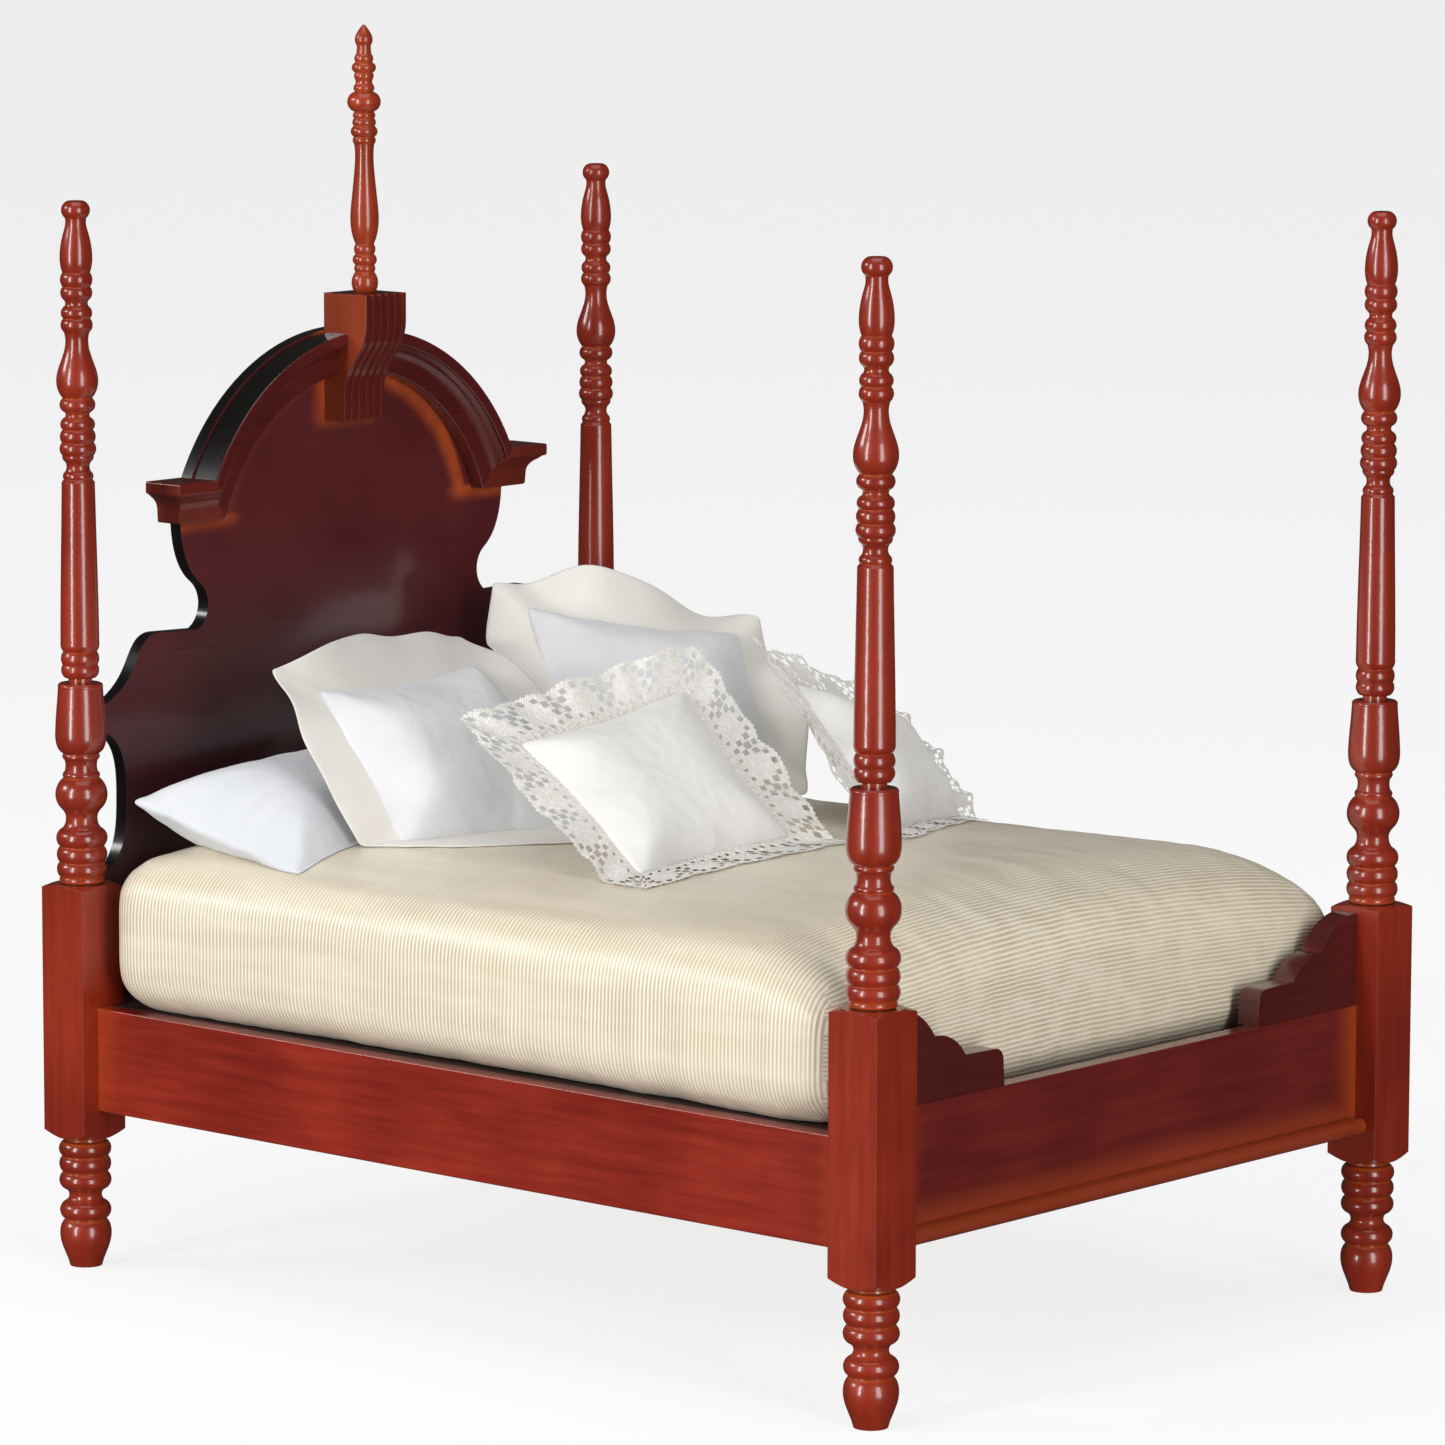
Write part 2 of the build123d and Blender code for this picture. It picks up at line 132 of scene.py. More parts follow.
# %% Room and floor
scene.view_settings.view_transform = "Standard"
room = bpy.data.worlds.new("room")
scene.world = room
room.use_nodes = True
ROOM_SEEN, ROOM_LIGHT, ROOM_MIRRORED = 1.0, 0.26, 0.03
path = room.node_tree.nodes.new("ShaderNodeLightPath")
background = room.node_tree.nodes["Background"]


def for_rays(kind, strength):
    """A node that gives a strength to one kind of ray, and its To Min to every other."""
    choice = room.node_tree.nodes.new("ShaderNodeMapRange")
    choice.inputs["To Max"].default_value = strength
    room.node_tree.links.new(path.outputs[kind], choice.inputs["Value"])
    return choice


mirrored = for_rays("Is Glossy Ray", ROOM_MIRRORED)
mirrored.inputs["To Min"].default_value = ROOM_LIGHT
seen = for_rays("Is Camera Ray", ROOM_SEEN)
room.node_tree.links.new(mirrored.outputs["Result"], seen.inputs["To Min"])
room.node_tree.links.new(seen.outputs["Result"], background.inputs["Strength"])
background.inputs["Color"].default_value = (1.0, 1.0, 1.0, 1.0)

bpy.ops.object.select_all(action="DESELECT")
bpy.ops.mesh.primitive_plane_add(size=12, location=(0, 0, 0))
floor = bpy.context.object
floor.name = "floor"
floor.visible_glossy = False
floor.visible_diffuse = False
floor.visible_shadow = False
print("floor and room ready")

# %% [markdown]
# ## Writing finishes as sums
#
# A finish is a small network of shader nodes.  Wired by hand it takes dozens of lines, so we wrap a
# socket in a class that knows Python's operators: `1 - mask * 2` then adds its own Math nodes.  Every
# other node comes from one method, `Finish.node`.

# %% Sockets that add up
class Wire:
    """One output socket of a finish.  Arithmetic on it adds Math nodes."""

    def __init__(self, finish, socket):
        self.finish = finish
        self.socket = socket

    def math(self, operation, *values):
        return self.finish.node("ShaderNodeMath", {"operation": operation}, dict(enumerate(values)))

    def __add__(self, other):
        return self.math("ADD", self, other)

    def __sub__(self, other):
        return self.math("SUBTRACT", self, other)

    def __rsub__(self, other):
        return self.math("SUBTRACT", other, self)

    def __mul__(self, other):
        return self.math("MULTIPLY", self, other)

    def __truediv__(self, other):
        return self.math("DIVIDE", self, other)

    def __pow__(self, other):
        return self.math("POWER", self, other)

    __radd__ = __add__
    __rmul__ = __mul__

    def sine(self):
        return self.math("SINE", self)

    def size(self):
        return self.math("ABSOLUTE", self)

    def least(self, other):
        return self.math("MINIMUM", self, other)

    def most(self, other):
        return self.math("MAXIMUM", self, other)

    def part(self):
        return self.math("FRACT", self)

    def rise(self, start, end):
        """0 before start, 1 after end, and smooth between them."""
        return self.finish.node(
            "ShaderNodeMapRange",
            {"interpolation_type": "SMOOTHSTEP"},
            {"Value": self, "From Min": start, "From Max": end},
        )


class Finish:
    """A material under construction, named for what it covers."""

    def __init__(self, name, **constants):
        self.material = bpy.data.materials.new(name)
        self.material.use_nodes = True
        self.tree = self.material.node_tree
        self.shader = self.tree.nodes["Principled BSDF"]
        for socket, value in constants.items():
            self.shader.inputs[socket.replace("_", " ")].default_value = value

    def node(self, kind, settings=None, sockets=None, output=0):
        """Add a node, set it up, feed its sockets, and return one of its outputs."""
        made = self.tree.nodes.new(kind)
        for name, value in (settings or {}).items():
            setattr(made, name, value)
        for name, value in (sockets or {}).items():
            if isinstance(value, Wire):
                self.tree.links.new(value.socket, made.inputs[name])
            else:
                made.inputs[name].default_value = value
        return Wire(self, made.outputs[output])

    def feed(self, socket, wire):
        self.tree.links.new(wire.socket, self.shader.inputs[socket])

    def place(self):
        return self.node("ShaderNodeTexCoord", output="Object")

    def axes(self, vector):
        """The three numbers of a vector."""
        split = self.node("ShaderNodeSeparateXYZ", sockets={0: vector})
        return [Wire(self, out) for out in split.socket.node.outputs]

    def noise(self, vector, scale, detail=2.0, stretch=(1, 1, 1), rough=0.5):
        stretched = self.node("ShaderNodeMapping", sockets={"Vector": vector, "Scale": stretch})
        return self.node(
            "ShaderNodeTexNoise",
            sockets={"Vector": stretched, "Scale": scale, "Detail": detail, "Roughness": rough},
        )

    def mix(self, factor, first, second):
        """Blend two colours, each a wire or three numbers."""
        pair = [c if isinstance(c, Wire) else (*c, 1.0) for c in (first, second)]
        return self.node(
            "ShaderNodeMix",
            {"data_type": "RGBA", "clamp_factor": True},
            {0: factor, 6: pair[0], 7: pair[1]},
            output=2,
        )

    def bump(self, height, depth, strength=1.0, normal=None):
        sockets = {"Height": height, "Distance": depth, "Strength": strength}
        if normal is not None:
            sockets["Normal"] = normal
        return self.node("ShaderNodeBump", sockets=sockets)


print("finish tools ready")

# %% [markdown]
# ## Mahogany
#
# The real bed is pale wood sprayed with a red-brown toner and a satin varnish.  Spray does not reach
# into corners, so the wood glows orange where a turning dips and where two pieces meet.  The bottom of
# the deepest grooves is painted dark, as shade.  Handling rubs the sharp arrises back to a thin bright
# line.  Sawn rims, which face away, are nearly black.
#
# An ambient occlusion node finds the hollows from outside and the arrises from inside.  It looks only
# at the piece itself, so nothing changes when a post is lifted out.

# %% Mahogany finish
# The deepest toner colour also serves as painted shade at the bottom of deep grooves.
DEEP_TONER_AND_SHADE = (0.050, 0.004, 0.004)
TONER_BODY = (0.29, 0.016, 0.006)
TONER_THIN = (0.60, 0.100, 0.012)
RUBBED = (0.62, 0.19, 0.08)
SAWN = (0.006, 0.004, 0.004)
# Painted shade, laid over the headboard panel towards the bed.
PAINTED_SHADE = (0.022, 0.004, 0.010)


def near_corners(finish, distance, inside):
    """1 where the piece's own surface closes in within the distance, else 0."""
    open_share = finish.node(
        "ShaderNodeAmbientOcclusion",
        {"samples": 8, "inside": inside, "only_local": True},
        {"Distance": distance},
        output="AO",
    )
    return 1 - open_share


def mahogany(
    name, grain, toner=TONER_BODY, thin=0.0, glow=None, sawn=None, shade=None,
    hollow_reach=2.2 * MM, figured=1.0,
):
    """A finish whose grain runs along one axis: 0, 1 or 2.

    thin is the share of thin toner all over, and figured how strongly the grain shows.  glow says where
    the toner is thin, shade where painted shade darkens the wood, and sawn where the black of a sawn
    edge replaces it.
    """
    finish = Finish(name, Coat_Weight=0.80, Coat_Roughness=0.15, Specular_IOR_Level=0.35)
    where = finish.place()
    stretch = tuple(0.07 if axis == grain else 1.0 for axis in range(3))
    figure = finish.noise(where, 620, 5.0, stretch, 0.62).rise(0.25, 0.78)
    cloud = finish.noise(where, 42, 2.0).rise(0.30, 0.72)
    pores = finish.noise(where, 3200, 2.0, stretch, 0.7).rise(0.60, 0.80)
    hollow = near_corners(finish, hollow_reach, False).rise(0.12, 0.60)
    arris = near_corners(finish, 0.42 * MM, True)
    chips = finish.noise(where, 900, 3.0).rise(0.36, 0.62)
    rubbed = arris.rise(0.50, 0.80) * (0.25 + 0.75 * chips)

    depth = 0.70 - 0.35 * figured + figure * (0.35 * figured) + cloud * 0.30
    colour = finish.mix(depth, DEEP_TONER_AND_SHADE, toner)
    colour = finish.mix((hollow * 0.85 + thin * (0.6 + 0.4 * cloud)).least(1.0), colour, TONER_THIN)
    # Painted shade: the bottom of the deepest hollows gets the deepest toner colour, as shade.
    colour = finish.mix(hollow.rise(0.75, 1.0) * 0.8, colour, DEEP_TONER_AND_SHADE)
    if glow is not None:
        colour = finish.mix(glow(finish, where), colour, TONER_THIN)
    # Painted shade, where a shade mask is given.
    if shade is not None:
        colour = finish.mix(shade(finish, where), colour, PAINTED_SHADE)
    colour = finish.mix(pores * (0.12 * figured), colour, DEEP_TONER_AND_SHADE)
    colour = finish.mix(rubbed * 0.42, colour, RUBBED)
    if sawn is not None:
        colour = finish.mix(sawn(finish, where), colour, SAWN)
    finish.feed("Base Color", colour)
    finish.feed("Roughness", 0.24 + 0.10 * figure + 0.10 * cloud)
    softened = finish.node("ShaderNodeBevel", {"samples": 6}, {"Radius": 0.22 * MM})
    finish.feed("Normal", finish.bump(figure * 0.5 - pores * 0.4, 0.015 * MM * figured, 0.7, softened))
    return finish.material


def coat(node, material):
    nodes[node].data.materials.clear()
    nodes[node].data.materials.append(material)


post_mahogany = mahogany("post_mahogany", 2, thin=0.10)
finial_mahogany = mahogany("finial_mahogany", 2, thin=0.30)
for node in nodes:
    if "post" in node:
        coat(node, post_mahogany)
coat("finial", finial_mahogany)
print("turned pieces are stained:", sum("post" in node for node in nodes) + 1)

# %% [markdown]
# The rails have the same toner.  It is thin at their two ends, against the posts, and along the lower
# edge of the foot rail.

# %% Rails and brackets
side_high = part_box("side_rail_left")[1]
foot_low, foot_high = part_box("foot_rail")


def rail_end_glow(finish, where):
    along = finish.axes(where)[1].size()
    return along.rise(side_high.y - 6 * MM, side_high.y + 1 * MM) * 0.32


def foot_glow(finish, where):
    x, _, z = finish.axes(where)
    ends = x.size().rise(foot_high.x - 7 * MM, foot_high.x + 1 * MM) * 0.45
    lower = (1 - z.rise(foot_low.z, foot_low.z + 5 * MM)) * 0.28
    return ends.most(lower)


side_mahogany = mahogany("side_rail_mahogany", 1, (0.34, 0.022, 0.008), glow=rail_end_glow)
foot_mahogany = mahogany("foot_rail_mahogany", 0, (0.185, 0.016, 0.012), glow=foot_glow)
bracket_mahogany = mahogany("bracket_mahogany", 0, (0.090, 0.010, 0.009))
for node in ("side_rail_left", "side_rail_right"):
    coat(node, side_mahogany)
coat("foot_rail", foot_mahogany)
coat("foot_rail_bead", foot_mahogany)
coat("foot_bracket_left", bracket_mahogany)
coat("foot_bracket_right", bracket_mahogany)
print("rails and brackets are stained")

# %% [markdown]
# The headboard panel is the darkest piece: burgundy, with painted shade taking it to nearly black
# towards the bed, behind the pillows.  It glows orange on its front only: just inside the arched
# moulding, under the two cornices and round the keystone.  Its sawn rim is black, and so is the outer
# rim of the moulding.  Both rims are found by their direction, as the faces that look neither forwards
# nor back.

# %% Headboard
key_low, key_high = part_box("keystone")
arch_low, arch_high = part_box("arch_moulding_left")
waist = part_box("cornice_left")[0].z
arch_radius = -arch_low.x
arch_centre = arch_high.z - arch_radius
mattress_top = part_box("mattress")[1].z
MOULDING = 7.1 * MM         # width of the arched moulding, seen from the front


def direction(finish, axis):
    """How a surface faces along an axis, from -1 to 1."""
    return finish.axes(finish.node("ShaderNodeNewGeometry", output="Normal"))[axis]


def facing(finish, axis):
    """How squarely a surface faces along an axis either way, from 0 to 1."""
    return direction(finish, axis).size()


def arch_distance(finish, where):
    """Distance of a place from the centre of the arch, seen from the front."""
    x, _, z = finish.axes(where)
    rise = z - arch_centre
    return (x * x + rise * rise) ** 0.5


def panel_glow(finish, where):
    x, _, z = finish.axes(where)
    radius = arch_distance(finish, where)
    inner = arch_radius - MOULDING
    band = radius.rise(inner - 2.6 * MM, inner + 0.4 * MM)
    band = band * (1 - radius.rise(inner + 1 * MM, inner + 2 * MM))
    arch = band * z.rise(waist - 2 * MM, waist + 1 * MM) * (0.25 + 0.75 * x.rise(-4 * MM, 4 * MM))
    under = z.rise(waist - 2.8 * MM, waist + 0.2 * MM) * (1 - z.rise(waist + 0.2 * MM, waist + 1 * MM))
    cornice = under * x.size().rise(arch_radius - 12 * MM, arch_radius - 7 * MM)
    near_key = 1 - x.size().rise(key_high.x, key_high.x + 4 * MM)
    key = near_key * z.rise(key_low.z - 2.4 * MM, key_low.z + 0.5 * MM)
    patchy = 0.55 + 0.45 * finish.noise(where, 150, 2.0).rise(0.3, 0.7)
    front = (direction(finish, 1) * -1).rise(0.3, 0.7)
    return arch.most(cornice).most(key) * patchy * front * 0.80


def painted_panel_shade(finish, where):
    """Painted shade, darker towards the bed, where the pillows shade the panel."""
    return (1 - finish.axes(where)[2].rise(mattress_top, waist)) * 0.75


def key_side(finish, where):
    """The two sides of the keystone caught less toner than its fluted front."""
    return facing(finish, 0).rise(0.80, 0.97) * 0.30


def panel_rim(finish, where):
    return 1 - facing(finish, 1).rise(0.2, 0.8)


def moulding_rim(finish, where):
    edge = arch_distance(finish, where).rise(arch_radius - 0.5 * MM, arch_radius - 0.1 * MM)
    return edge * (1 - facing(finish, 1).rise(0.3, 0.7))


panel_mahogany = mahogany(
    "panel_mahogany", 0, (0.115, 0.014, 0.017), glow=panel_glow, sawn=panel_rim,
    shade=painted_panel_shade, figured=0.25,
)
arch_mahogany = mahogany("arch_mahogany", 0, (0.115, 0.010, 0.009), sawn=moulding_rim)
cornice_mahogany = mahogany("cornice_mahogany", 0, (0.135, 0.011, 0.009), thin=0.10)
key_mahogany = mahogany(
    "keystone_mahogany", 2, (0.12, 0.010, 0.009), glow=key_side, hollow_reach=0.3 * MM,
)
coat("headboard_panel", panel_mahogany)
for side in ("left", "right"):
    coat(f"arch_moulding_{side}", arch_mahogany)
    coat(f"cornice_{side}", cornice_mahogany)
coat("keystone", key_mahogany)
print("headboard is stained, arch radius", round(arch_radius / MM, 1), "mm")


# %% [markdown]
# The board under the mattress and its two ledger strips are bare pale wood, because they are hidden
# in the made-up bed.  Only the rim of the board can be seen, as a dark line of shade over the rails,
# so painted shade darkens the board near its edge.

# %% Bare wood
board_low, board_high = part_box("bed_board")
SHADE_FROM, SHADE_FULL = 12 * MM, 9 * MM  # in from the board's edge, where the painted shade starts and is full


def bare_wood():
    finish = Finish("bare_wood", Roughness=0.7)
    where = finish.place()
    figure = finish.noise(where, 300, 5.0, (1, 0.05, 1), 0.6).rise(0.3, 0.7)
    colour = finish.mix(figure, (0.52, 0.34, 0.18), (0.70, 0.52, 0.32))
    x, y, z = finish.axes(where)
    # Painted shade: the top of the board is darkened near its edge, where the gap over the rails lies
    # in shade.
    rim = x.size().rise(board_high.x - SHADE_FROM, board_high.x - SHADE_FULL)
    rim = rim.most(y.size().rise(board_high.y - SHADE_FROM, board_high.y - SHADE_FULL))
    upper = z.rise(board_low.z, board_low.z + 1 * MM)
    finish.feed("Base Color", finish.mix(rim * upper, colour, (0.030, 0.007, 0.006)))
    finish.feed("Normal", finish.bump(figure, 0.05 * MM))
    return finish.material


board_wood = bare_wood()
for node in ("bed_board", "ledger_strip_left", "ledger_strip_right"):
    coat(node, board_wood)


def floor_finish():
    finish = Finish("pale_floor", Roughness=0.9, Emission_Color=(1, 1, 1, 1), Emission_Strength=0.80)
    tone = finish.noise(finish.place(), 3, 2.0)
    finish.feed("Base Color", finish.mix(tone, (0.20, 0.20, 0.20), (0.21, 0.21, 0.21)))
    return finish.material


floor.data.materials.append(floor_finish())
print("bare wood and floor are done")

# %% [markdown]
# ## Cloth
#
# Two cloths dress the bed.  The bedspread is a ribbed satin: each rib is a raised cord across the
# bed, under shiny champagne threads.  The pillows are a fine white cotton in a plain weave.  Both
# patterns follow the cloth, so they read a map that each piece carries: `cloth`, whose two numbers are
# metres along the cloth in each direction.

# %% Ribbed satin
RIB = 0.80 * MM
WEAVE = 0.36 * MM


def cloth_map(finish):
    """Metres along the two directions of the cloth."""
    return finish.axes(finish.node("ShaderNodeUVMap", {"uv_map": "cloth"}))


def ribbed_satin():
    finish = Finish(
        "ribbed_satin", Sheen_Weight=0.15, Sheen_Roughness=0.4,
        Coat_Weight=0.35, Coat_Roughness=0.30,
    )
    across, along, _ = cloth_map(finish)
    where = finish.place()
    wander = finish.noise(where, 60, 2.0) * (0.7 * RIB)
    phase = (along + wander) * (2 * math.pi / RIB)
    rib = phase.sine() * 0.5 + 0.5
    thread = (across * (2 * math.pi / (0.22 * MM))).sine() * 0.5 + 0.5
    slub = finish.noise(where, 260, 3.0, (1, 0.12, 1)).rise(0.35, 0.70)
    cloud = finish.noise(where, 30, 2.0).rise(0.3, 0.7)
    tone = finish.mix(rib ** 1.6, (0.54, 0.440, 0.290), (0.90, 0.845, 0.715))
    tone = finish.mix(slub * 0.30 + thread * 0.10, tone, (0.93, 0.85, 0.70))
    finish.feed("Base Color", finish.mix(cloud * 0.25, tone, (0.80, 0.68, 0.49)))
    finish.feed("Roughness", 0.30 + 0.12 * slub)
    finish.feed("Normal", finish.bump(rib + thread * 0.12, 0.10 * MM, 0.7))
    return finish.material


def cotton(name, light, shade, weave_depth=0.05 * MM):
    finish = Finish(name, Roughness=0.85, Sheen_Weight=0.25, Sheen_Roughness=0.5)
    across, along, _ = cloth_map(finish)
    where = finish.place()
    warp = (across * (2 * math.pi / WEAVE)).sine()
    weft = (along * (2 * math.pi / WEAVE)).sine()
    weave = warp * weft * 0.5 + 0.5
    cloud = finish.noise(where, 70, 3.0).rise(0.3, 0.7)
    nub = finish.noise(where, 900, 3.0).rise(0.55, 0.75)
    tone = finish.mix(cloud * 0.6 + weave * 0.4, shade, light)
    finish.feed("Base Color", finish.mix(nub * 0.25, tone, shade))
    finish.feed("Roughness", 0.78 + 0.14 * weave)
    finish.feed("Normal", finish.bump(weave + nub * 0.5, weave_depth, 0.6))
    return finish.material


satin = ribbed_satin()
plain_cotton = cotton("plain_cotton", (0.69, 0.705, 0.73), (0.605, 0.625, 0.66))
sham_cotton = cotton("sham_cotton", (0.78, 0.79, 0.81), (0.68, 0.69, 0.71))
frill_cotton = cotton("frill_cotton", (0.79, 0.77, 0.73), (0.69, 0.66, 0.61))
cushion_cotton = cotton("cushion_cotton", (0.82, 0.81, 0.785), (0.72, 0.705, 0.68))
print("cloth finishes are ready")

# %% [markdown]
# ## Blowing up a pillow
#
# A pillow is a flat bag that its filling pushes round.  We make it the same way: a flat grid is given
# a thickness, and a cloth simulation with air pressure inside swells it.  Air alone pulls the sides
# in too far between the corners, where a real filling holds them out, so we give back part of that pull
# and ease the largest moves.
#
# Cloth settings are made for things of household size.  So the bag is made at full size, twelve times
# larger, blown up there, and shrunk afterwards.

# %% Bags and pressure
FULL = 12.0
GRID = 1.0 * MM             # spacing of the cloth's points, on the finished miniature
SEAM = 0.9 * MM             # thickness of an empty bag
STEPS = 20                  # steps of air pressure


def deselect():
    bpy.ops.object.select_all(action="DESELECT")


def only(piece):
    deselect()
    piece.select_set(True)
    bpy.context.view_layer.objects.active = piece


def apply(piece, modifier):
    only(piece)
    bpy.ops.object.modifier_apply(modifier=modifier.name)


def grid(name, width, depth, columns, rows):
    """A flat grid whose cloth map is in metres."""
    deselect()
    bpy.ops.mesh.primitive_grid_add(x_subdivisions=columns, y_subdivisions=rows, size=1)
    piece = bpy.context.object
    piece.name = name
    piece.data.name = name
    piece.data.uv_layers.active.name = "cloth"
    for vertex in piece.data.vertices:
        vertex.co.x *= width
        vertex.co.y *= depth
    for corner in piece.data.uv_layers["cloth"].data:
        corner.uv = (corner.uv.x * width, corner.uv.y * depth)
    return piece


def bag(name, width, depth):
    """A flat sewn bag of full size, lying in the XY plane about the origin."""
    piece = grid(name, width, depth, round(width / GRID), round(depth / GRID))
    piece.data.transform(Matrix.Scale(FULL, 4))
    shell = piece.modifiers.new("two_sides", "SOLIDIFY")
    shell.thickness = SEAM * FULL
    shell.offset = 0
    apply(piece, shell)
    return piece


def blow_up(piece, pressure, cap, seed, held_out=0.0):
    """Swell a bag with air, ease each move towards the cap, and shrink it to size.

    held_out is the share of the sideways pull that the stuffing in the corners resists.
    """
    rough = random.Random(seed)
    for vertex in piece.data.vertices:
        vertex.co.z += rough.uniform(-0.4, 0.4) * MM * FULL * 0.3
    flat = [vertex.co.copy() for vertex in piece.data.vertices]
    air = piece.modifiers.new("air", "CLOTH")
    air.settings.quality = 6
    air.settings.mass = 0.3
    air.settings.tension_stiffness = 12
    air.settings.compression_stiffness = 12
    air.settings.shear_stiffness = 4
    air.settings.bending_stiffness = 0.4
    air.settings.use_pressure = True
    air.settings.uniform_pressure_force = pressure
    air.settings.effector_weights.gravity = 0
    for step in range(1, STEPS + 1):
        scene.frame_set(step)
    apply(piece, air)
    scene.frame_set(1)
    limit = cap * FULL
    for vertex, start in zip(piece.data.vertices, flat):
        move = vertex.co - start
        move.x *= 1 - held_out
        move.y *= 1 - held_out
        if move.length > 0:
            move = move.normalized() * limit * math.tanh(move.length / limit)
        vertex.co = start + move
    piece.data.transform(Matrix.Scale(1 / FULL, 4))


def smooth(piece, levels=1):
    rounder = piece.modifiers.new("rounder", "SUBSURF")
    rounder.levels = levels
    rounder.render_levels = levels
    apply(piece, rounder)
    bpy.ops.object.shade_smooth()


print("bags are blown up at", FULL, "times their size")

# %% [markdown]
# ## The made-up mattress
#
# The mattress is wrapped in the ribbed satin: over the top, down both sides and down the foot.  It
# starts as a box with rounded edges.  Air pressure gives it its soft shoulders, and then it is settled
# into the bed: flat underneath, held in by the blocks, higher in the middle and sloping down to the
# foot rail.
#
# The ribs run across the bed.  On the top and the sides their place is the distance along the bed, and
# on the foot end it is the distance down it, so the map is measured on the box before it swells.

# %% Mattress shape
mat_low, mat_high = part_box("mattress")
block_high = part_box("lower_post_foot_left")[1]
ROUND = 7 * MM
CROWN = 4.6 * MM            # rise of the top in the middle
FOOT_RUN = 24 * MM          # length over which the top slopes down at the foot
FOOT_DROP = 6.5 * MM
BULGE_RUN = 14 * MM         # length over which the foot end bulges past its box
BULGE = 2.2 * MM
NARROWING = 0.9 * MM        # how much each upper side leans in at the foot
HEM_LIFT, HEM_SWAY = 0.30 * MM, 0.28 * MM
SLACK = 1.5 * MM            # how far the sides may swell past the box
mat_middle = (mat_low + mat_high) / 2
mat_size = mat_high - mat_low

deselect()
bpy.ops.mesh.primitive_cube_add(size=1, location=(0, 0, 0))
spread = bpy.context.object
spread.name = "bedspread"
spread.data.transform(Matrix.Diagonal((*(mat_size * FULL), 1)))
edges = spread.modifiers.new("edges", "BEVEL")
edges.width = ROUND * FULL
edges.segments = 5
apply(spread, edges)
spread.data.remesh_voxel_size = 1.7 * MM * FULL
only(spread)
bpy.ops.object.voxel_remesh()
print("mattress starts with", len(spread.data.vertices), "points")


# %% Mattress cloth map
def run_over(place, height, half):
    """Metres along the cloth from the middle, over a rounded edge and down."""
    flat_end = half - ROUND
    rounded_from = mat_size.z / 2 - ROUND
    if place <= flat_end:
        return place
    if height >= rounded_from:
        return flat_end + ROUND * math.atan2(place - flat_end, height - rounded_from)
    return flat_end + ROUND * math.pi / 2 + rounded_from - height


def rib_place(point, normal):
    """Where a point lies on the cloth: metres across the bed, and metres along it."""
    if abs(normal.x) > abs(normal.y):
        across = math.copysign(run_over(abs(point.x), point.z, mat_size.x / 2), point.x)
        return across, point.y
    return point.x, -math.copysign(run_over(abs(point.y), point.z, mat_size.y / 2), -point.y)


cloth = spread.data.uv_layers.new(name="cloth")
for face in spread.data.polygons:
    for corner in face.loop_indices:
        vertex = spread.data.vertices[spread.data.loops[corner].vertex_index]
        cloth.data[corner].uv = rib_place(vertex.co / FULL, face.normal)
blow_up(spread, 4.0, 2.4 * MM, 3)
smooth(spread)
print("bedspread has", len(spread.data.polygons), "faces")


# %% Settle the mattress
def ripple(along):
    """The hem creeps up and down a little more towards the foot."""
    towards_foot = min(1.0, max(0.0, 0.5 - along / mat_size.y))
    return towards_foot * (
        math.sin(along / (4.1 * MM)) + 0.6 * math.sin(along / (2.3 * MM) + 1.0)
    )


def settle_mattress(point):
    across = point.x / (mat_size.x / 2)
    from_foot = point.y + mat_size.y / 2
    high = min(1.0, max(0.0, 0.5 + point.z / mat_size.z))
    edge = max(0.0, 1 - across * across)
    foot = max(0.0, 1 - max(0.0, from_foot) / FOOT_RUN)
    z = mat_middle.z + point.z
    z += high * (CROWN * edge ** 1.1 * (0.55 + 0.45 * (1 - from_foot / mat_size.y)))
    z -= high * high * FOOT_DROP * foot ** 2
    y = mat_middle.y + point.y
    middle_part = min(1.0, max(0.0, (0.86 - abs(across)) / 0.12))
    if from_foot < BULGE_RUN:
        y -= middle_part * BULGE * (1 - from_foot / BULGE_RUN) * (1 - 0.75 * high)
    low = max(0.0, 1 - high / 0.32)
    side = min(1.0, max(0.0, (abs(across) - 0.80) / 0.15))
    z += low * side * ripple(point.y) * HEM_LIFT
    x = point.x - math.copysign(side * ripple(point.y) * HEM_SWAY * (1 - high), point.x)
    x += math.copysign(side * NARROWING * (1 - from_foot / mat_size.y) * high, -point.x)
    return Vector((x, y, max(z, mat_low.z - 0.25 * MM)))


for vertex in spread.data.vertices:
    vertex.co = settle_mattress(vertex.co)
    at_block = abs(vertex.co.x) > -block_high.x - 0.4 * MM
    if at_block:
        vertex.co.y = max(mat_low.y, min(mat_high.y, vertex.co.y))
    vertex.co.x = max(mat_low.x - SLACK, min(mat_high.x + SLACK, vertex.co.x))
spread.data.materials.append(satin)
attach(spread, "mattress")
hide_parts("mattress")
top = max(vertex.co.z for vertex in spread.data.vertices)
print("mattress top is", round(top / MM, 1), "mm up")

# %% [markdown]
# ## Where the pillows lie
#
# A soft pillow does not keep its right angles once it is thrown down, so each is placed by its four
# corners: foot end left, foot end right, head end right and head end left.  Each corner is given in
# millimetres from the middle of the pillow's own solid in the frame.  A point of the flat pillow goes
# to the same share of the patch between the four corners, and its height above the cloth goes
# straight out of that patch.

# %% Laying out a pillow
def node_middle(node):
    low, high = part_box(node)
    return (low + high) / 2


